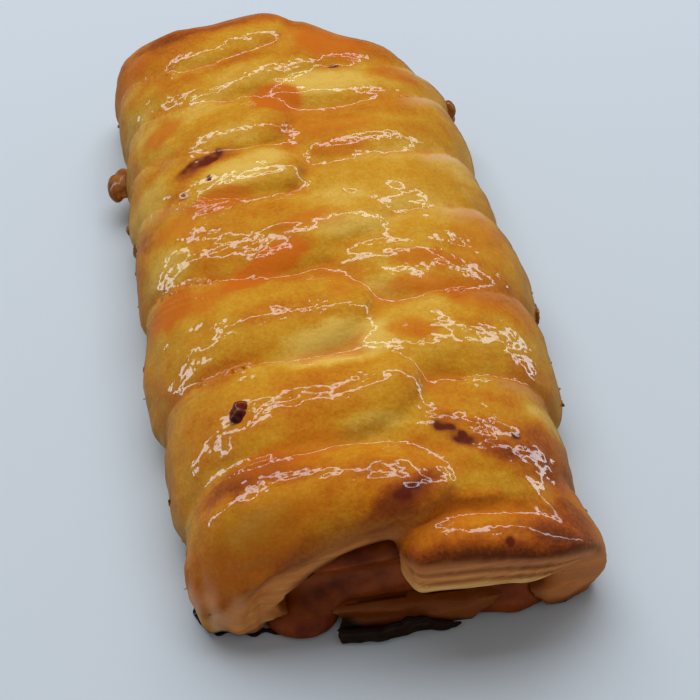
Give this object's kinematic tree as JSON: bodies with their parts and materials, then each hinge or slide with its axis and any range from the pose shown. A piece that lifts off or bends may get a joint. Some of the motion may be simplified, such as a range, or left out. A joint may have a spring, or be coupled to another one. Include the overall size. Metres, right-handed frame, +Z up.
{
  "type": "apple pastry braid",
  "caption": "Plaited puff pastry with cooked apple filling: strips folded over from both long sides under a shiny glaze, open at one end.",
  "frame": {"origin": "middle of the flat bottom, under the centre of the bounding box", "axes": "+Z up; +Y along the braid, from the open end to the closed far end; +X to the right as seen from the open end"},
  "size_m": [0.0937, 0.1635, 0.0332],
  "materials": {
    "glazed_pastry": "golden baked puff pastry under a wet-looking clear apricot glaze",
    "cooked_apple": "soft cooked apple in brown syrup, glossy and a little translucent",
    "scorched_sugar": "black burnt sugar, shiny and brittle",
    "baked_juice": "amber set juice, shiny"
  },
  "bodies": {
    "root": {"pastry": "glazed_pastry", "apple_filling": "cooked_apple", "scorched_juice": "scorched_sugar", "leaked_juice_left": "baked_juice", "leaked_juice_right": "baked_juice"}
  },
  "joints": []
}
